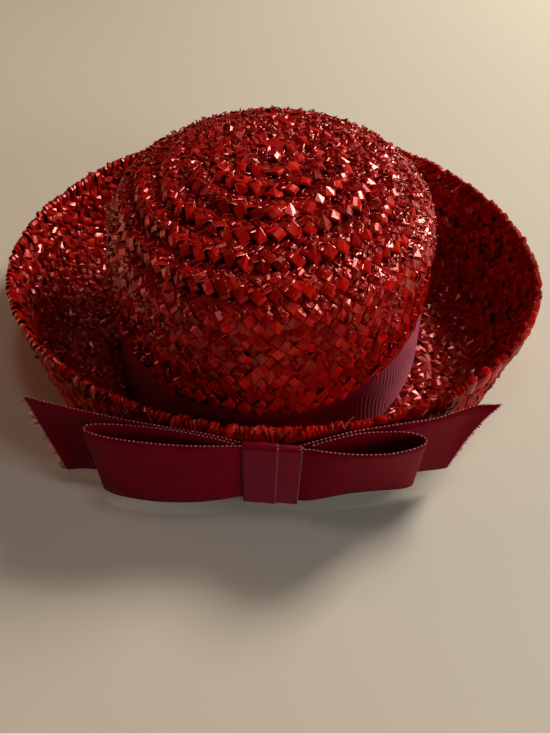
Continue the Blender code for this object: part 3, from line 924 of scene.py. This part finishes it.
TAIL_STRIP = [
    (-97.3, -114.4, 47.0, -82.9, -123.0, 9.0),
    (-83.0, -117.8, 47.0, -76.0, -121.6, 9.0),
    (-67.0, -120.9, 47.0, -64.0, -121.8, 9.0),
    (-50.0, -123.9, 47.0, -49.0, -124.1, 9.0),
    (-33.0, -126.1, 47.0, -33.0, -126.0, 9.0),
    (-16.0, -127.6, 46.2, -16.0, -127.5, 9.3),
    (-3.0, -128.8, 44.2, -3.0, -128.7, 9.6),
    (4.0, -129.0, 43.5, 4.0, -129.0, 9.7),
    (19.0, -129.0, 43.5, 19.0, -129.0, 9.7),
    (27.0, -127.5, 45.4, 27.0, -127.4, 10.0),
    (35.0, -125.3, 47.1, 35.0, -125.3, 10.6),
    (47.0, -121.4, 48.3, 46.0, -121.8, 11.3),
    (62.0, -117.0, 48.5, 60.0, -116.0, 11.5),
    (78.0, -112.0, 48.5, 73.0, -111.6, 11.1),
    (88.0, -107.0, 48.5, 81.0, -109.3, 10.7),
    (97.0, -102.6, 48.5, 86.0, -108.0, 10.5),
    (107.0, -101.2, 48.5, 90.3, -106.6, 10.5),
]


def curve_through(rows, steps):
    """Points on a smooth curve through rows in millimetres, with so many steps from row to row."""
    rows = np.array(rows) * MM
    slope = np.gradient(rows, axis=0)
    at = np.linspace(0.0, len(rows) - 1, steps * (len(rows) - 1) + 1)
    i = np.minimum(at.astype(int), len(rows) - 2)
    u = (at - i)[:, None]
    return ((2 * u**3 - 3 * u**2 + 1) * rows[i] + (u**3 - 2 * u**2 + u) * slope[i]
            + (3 * u**2 - 2 * u**3) * rows[i + 1] + (u**3 - u**2) * slope[i + 1])


def pick_at(at, length, line):
    """Each column of a line's points, at so far along it."""
    return np.stack([np.interp(at, length, column) for column in line.T], axis=-1)


def smooth_path(rows):
    """A function of a share from 0 to 1 that gives the row there, evenly spaced along the ribbon."""
    dense = curve_through(rows, PATH_STEPS)
    length = line_length(0.5 * (dense[:, :3] + dense[:, 3:]))
    return lambda at: pick_at(at, length / length[-1], dense), length[-1]


def dented(u, v, dent):
    """The share along a ribbon whose far end is cut in a shallow curve."""
    return u * (1.0 - dent * 4.0 * v * (1.0 - v))


def ribbed(u, columns):
    """In and out in turn, for the ribs."""
    return np.where(np.round(u * columns) % 2 == 0, RIB_RISE, -RIB_RISE)


def ribbon_piece(name, path, length, width, material, node, rows=8, wave=None, dent=0.0):
    """A ribbed ribbon between the path's two edges. wave(u, v) moves it out along its normal."""
    columns = 2 * int(round(length / RIB))

    def place(u, v):
        far = dented(u, v, dent)
        at, ahead = path(far), path(np.clip(far + 1e-3, 0.0, 1.0)) - path(np.clip(far - 1e-3, 0.0, 1.0))
        rise = at[:, :3] - at[:, 3:]
        normal = unit(np.cross(0.5 * (ahead[:, :3] + ahead[:, 3:]), rise))
        out = ribbed(u, columns) + (wave(u, v) if wave else 0.0)
        return at[:, 3:] + rise * v[:, None] + normal * out[:, None]

    return sheet_piece(name, columns, rows, place, (length / MM, width / MM), RIBBON_WALL, 0.0,
                       material, "ribbon", node)


BOW_WIDTH = 0.038
PATH_STEPS, THREAD_STEPS = 24, 8
TAIL_DENT = 0.012            # of the right tail's cut, as a share of the ribbon's length
loop_path, LOOP_LENGTH = smooth_path(LOOP_STRIP)
tail_path, TAIL_LENGTH = smooth_path(TAIL_STRIP)
bow_loops = ribbon_piece("bow_loop_ribbon", loop_path, LOOP_LENGTH, BOW_WIDTH, bow_ribbon, "bow_loops")
bow_tails = ribbon_piece("bow_tail_ribbon", tail_path, TAIL_LENGTH, BOW_WIDTH, bow_ribbon, "bow_tails",
                         dent=TAIL_DENT)

# %% [markdown]
# The band is the same ribbon drawn tight round the crown's foot. It stands a hair off the straw,
# flares a little at its foot, and its end laps over its start behind the bow.

# %% Band round the crown
BAND_FOOT, BAND_HEIGHT, BAND_FLARE, RIBBON_GAP = 0.0080, 0.0370, 0.0012, 0.0009
BAND_SEAM, BAND_LAP = math.radians(268.0), math.radians(5.0)
GATHER, GATHER_RISE, GATHERED_AT = 0.0030, 0.00012, math.radians(325.0)


def band_turn(share):
    return BAND_SEAM + (2.0 * math.pi + BAND_LAP) * share


def band_path(share):
    """Top and bottom edge of the band, whose end laps over its start."""
    t = band_turn(share)
    lap = RIBBON_WALL * 1.2 * np.clip((share - 0.97) / 0.02, 0.0, 1.0)
    rows = []
    for height, stand in ((BAND_FOOT + BAND_HEIGHT, RIBBON_GAP), (BAND_FOOT, RIBBON_GAP + BAND_FLARE)):
        x, y = oval(t, **{key: value + stand for key, value in FOOT_OVAL.items()})
        rows.append(np.column_stack([x + lap * np.cos(t), y + lap * np.sin(t), height + dip(t, BAND_LINE)]))
    return np.hstack(rows)


def band_wave(u, v):
    """Soft upright gathers where the band is drawn tight, most of all at the front right."""
    strength = 0.25 + 0.75 * np.clip(np.cos(band_turn(u) - GATHERED_AT), 0.0, 1.0) ** 4
    turns = u * BAND_LENGTH / GATHER + 0.7 * np.sin(4.0 * v + 57.0 * u) + 0.3 * np.sin(9.0 * v + 131.0 * u)
    fade = np.sin(math.pi * np.clip(v, 0.0, 1.0)) ** 0.5
    return GATHER_RISE * strength * np.sin(2.0 * math.pi * turns) * fade


BAND_LENGTH = float(line_length(band_path(np.linspace(0.0, 1.0, 400))[:, :3])[-1])
crown_band = ribbon_piece("crown_band_ribbon", band_path, BAND_LENGTH, BAND_HEIGHT, band_ribbon, "crown_band",
                          16, band_wave)

# %% [markdown]
# A short length of the same ribbon is wrapped round the middle of the bow. It is folded
# lengthwise first: from its free edge on top it runs left to the fold and comes back behind
# itself, so two selvages and one plain folded edge show, and its ribs lie level.

# %% Knot of the bow
KNOT = {"left": -0.0006, "right": 0.0238, "face": 0.1316, "back": 0.1287, "top": 0.0446, "bottom": 0.0060}
KNOT_INSET = 0.0005          # of the lower layer, from the knot's own size
KNOT_LAP = 0.0143            # from the fold on the left to the free edge on top
KNOT_LAYER = 0.0006          # from the lower to the upper layer
KNOT_TURN = 0.0014


def knot_wrap(share):
    """Place (y, z) and outward direction of the lower layer, from behind the top to behind the bottom."""
    face, top, bottom = KNOT["face"] - KNOT_INSET, KNOT["top"] - KNOT_INSET, KNOT["bottom"] + KNOT_INSET
    back_run, face_run = face - KNOT_TURN - KNOT["back"], top - bottom - 2.0 * KNOT_TURN
    bend = 0.5 * math.pi * KNOT_TURN
    length = 2.0 * (back_run + bend) + face_run
    far = share * length
    first = np.clip((far - back_run) / bend, 0.0, 1.0)
    second = np.clip((far - back_run - bend - face_run) / bend, 0.0, 1.0)
    angle = 0.5 * math.pi * (first + second)
    down = np.clip(far - back_run - bend, 0.0, face_run)
    leave = np.maximum(far - back_run - 2.0 * bend - face_run, 0.0)
    y = -(KNOT["back"] + np.minimum(far, back_run)) - KNOT_TURN * np.sin(angle) + leave
    z = np.where(second > 0.0, bottom + KNOT_TURN, top - KNOT_TURN - down) + KNOT_TURN * np.cos(angle)
    return y, z, -np.sin(angle), np.cos(angle), length


def knot_place(u, v):
    y, z, y_out, z_out, length = knot_wrap(u)
    width = KNOT["right"] - KNOT["left"]
    fold = 0.5 * math.pi * KNOT_LAYER
    far = v * (KNOT_LAP + fold + width)
    bend = np.clip((far - KNOT_LAP) / fold, 0.0, 1.0) * math.pi
    x = KNOT["left"] + np.maximum(KNOT_LAP - far, 0.0) + np.maximum(far - KNOT_LAP - fold, 0.0)
    x = x - 0.5 * KNOT_LAYER * np.sin(bend)
    taper = 0.0012 * np.clip((KNOT["top"] - z) / 0.04, 0.0, 1.0)
    x = x - taper * (x - KNOT["left"]) / width
    out = 0.5 * KNOT_LAYER * (1.0 + np.cos(bend)) + ribbed(u, KNOT_COLUMNS)
    return np.column_stack([x, y + y_out * out, z + z_out * out])


KNOT_LENGTH = float(knot_wrap(0.0)[4])
KNOT_WIDTH = KNOT_LAP + 0.5 * math.pi * KNOT_LAYER + KNOT["right"] - KNOT["left"]
KNOT_COLUMNS = 2 * round(KNOT_LENGTH / RIB)
bow_knot = sheet_piece("bow_knot_ribbon", KNOT_COLUMNS, 40, knot_place, (KNOT_LENGTH / MM, KNOT_WIDTH / MM),
                       RIBBON_WALL, 0.0, knot_ribbon, "ribbon", "bow_knot")

# %% [markdown]
# Along both edges of the ribbon its filling threads turn back round a paler cord, which shows
# as a line of light stitches. Each stitch is a small long bead.

# %% Light stitches along the edges
STITCH = 0.0018              # from stitch to stitch


def bead(half_length, radius):
    """A small long bead, along X."""
    bm = bmesh.new()
    bmesh.ops.create_icosphere(bm, subdivisions=1, radius=1.0)
    bmesh.ops.scale(bm, vec=(half_length, radius, radius), verts=bm.verts)
    return solid_points(bm)


def string_beads(name, lines, shape, step, spread, material, *dressing):
    """Beads in a row along each line, in tones from spread; dressing is its solid and a slot, which is not
    used.
    """
    places = []
    for line in lines:
        length = line_length(line)
        at = np.arange(0.5 * step, length[-1], step)
        spots = pick_at(at, length, line)
        along = unit(pick_at(at + 1e-4, length, line) - spots)
        side = unit(np.cross(along, (0.13, 0.07, 0.99)))
        places.append(np.stack([along, side, np.cross(along, side), spots], axis=-1))
    places = np.vstack(places)
    tones = np.random.default_rng(len(places)).uniform(*spread, len(places))
    return join_copies(name, [shape], [0] * len(places), places, tones, material, *dressing, smooth=True)


STITCH_SHAPE = bead(half_length=0.00064, radius=0.00034)
shares = np.linspace(0.0, 1.0, 600)
edges = {"bow_loop_stitches": loop_path(shares), "bow_tail_stitches": tail_path(shares),
         "crown_band_stitches": band_path(shares)}
edges = {name: (rows[:, :3], rows[:, 3:]) for name, rows in edges.items()}
edges["bow_knot_stitches"] = [knot_place(np.linspace(0.0, 1.0, 80), np.full(80, edge)) - (0.0, 0.0001, 0.0)
                              for edge in (0.0, 1.0)]
stitches = {name: string_beads(name, lines, STITCH_SHAPE, STITCH, (0.2, 0.9), picot_thread, None, "ribbon")
            for name, lines in edges.items()}

# %% [markdown]
# The tails end in a slanting cut, where the last filling threads have come loose. They are
# small three-sided cones from create_cone, each with its own length and direction.

# %% Frayed ends of the tails
bm = bmesh.new()
bmesh.ops.create_cone(bm, cap_ends=True, segments=3, radius1=0.00052, radius2=0.00040, depth=MM)
bmesh.ops.translate(bm, vec=(0.0, 0.0, 0.5 * MM), verts=bm.verts)
FRAY_SHAPE = [solid_points(bm)]


def frayed(share, length, step, seed):
    """Places for loose threads along the tail ribbon's cut end."""
    chance = np.random.default_rng(seed)
    ends, ahead = tail_path(np.array([share, abs(share - 0.01)]))
    cut = np.linalg.norm(ends[:3] - ends[3:])
    cut_way = (ends[:3] - ends[3:]) / cut
    along = (ends - ahead).reshape(2, 3).mean(axis=0)
    along = along - 0.9 * along.dot(cut_way) * cut_way
    count = int(cut / step)
    tuft = np.arange(count) // 2
    v = np.clip((2.0 * tuft + chance.uniform(0.6, 1.4, count)) / count, 0.0, 1.0)
    at = tail_path(share * dented(1.0, v, TAIL_DENT))
    spots = at[:, 3:] + (at[:, :3] - at[:, 3:]) * v[:, None]
    ways = unit(along) + chance.normal(0.0, 0.20, (count, 3))[tuft]
    ways = unit(ways + chance.normal(0.0, 0.12, (count, 3)))
    side = unit(np.cross(ways, (0.1, 0.9, 0.1)))
    reach = ways * (length / MM * chance.uniform(0.4, 1.15, count))[:, None]
    return np.stack([side, np.cross(ways, side), reach, spots - ways * 0.0003], axis=-1)


places = np.vstack([frayed(0.0, length=0.0027, step=0.00085, seed=51),
                    frayed(1.0, length=0.0013, step=0.00075, seed=52)])
tones = np.random.default_rng(53).uniform(0.0, 1.0, len(places))
frays = join_copies("bow_tail_frays", FRAY_SHAPE, [0] * len(places), places, tones, frayed_thread,
                    slot="ribbon")

# %% [markdown]
# A few ends of thread and curls of straw have come loose, as on any hand-made hat. Each is a
# row of small long beads that overlap along a curve.

# %% Loose threads and curls of straw
LINK, LINK_SHAPE = 0.0005, bead(half_length=0.00040, radius=0.00013)
LOOSE_TONES = (0.1, 0.7)
RIM_THREAD = [
    (-94.5, -89.0, 39.0), (-97.8, -92.2, 38.9), (-99.4, -93.4, 38.3), (-99.7, -94.8, 37.1),
    (-97.4, -96.1, 34.7), (-95.1, -97.5, 32.4), (-92.2, -99.8, 29.1), (-89.0, -99.6, 25.0),
    (-84.0, -94.0, 21.0),
]
BAND_THREADS = [
    [(37.6, -121.5, 50.0), (38.6, -121.0, 52.1), (39.6, -122.2, 50.9), (40.4, -122.8, 50.2)],
    [(40.4, -122.8, 49.6), (41.1, -121.9, 51.5), (42.2, -120.4, 53.0), (43.8, -119.5, 54.0)],
    [(35.8, -123.0, 49.6), (35.5, -122.3, 50.7), (35.0, -121.1, 51.8)],
]


def curl(up, degrees, turned, size, share):
    """Part of a ring that stands on the straw of the crown."""
    point, round_way, cross_way, normal = (part[0] for part in surface_frame(
        crown_surface, np.array([up]), np.radians([degrees])))
    along = unit(round_way) * math.cos(turned) + unit(cross_way) * math.sin(turned)
    angle = np.linspace(-0.5 * math.pi, 2.0 * math.pi * share - 0.5 * math.pi, 24)
    return point + size * (np.cos(angle)[:, None] * along + (1.4 + np.sin(angle))[:, None] * normal)


def threads(name, lines, material, slot):
    return string_beads(name, lines, LINK_SHAPE, LINK, LOOSE_TONES, material, None, slot)


chance = np.random.default_rng(61)
curls = [curl(0.49, 76.0, 0.0, 0.0013, 0.95)]
for _ in range(26):
    curls.append(curl(chance.uniform(0.05, 0.95), chance.uniform(0.0, 360.0), chance.uniform(0.0, 3.1),
                      chance.uniform(0.0007, 0.0013), chance.uniform(0.4, 0.95)))
threads("straw_curls", curls, flat_straw, "straw")
threads("rim_thread", [curve_through(RIM_THREAD, THREAD_STEPS)], loose_thread, "straw")
threads("band_thread", [curve_through(rows, THREAD_STEPS) for rows in BAND_THREADS], frayed_thread, "ribbon")
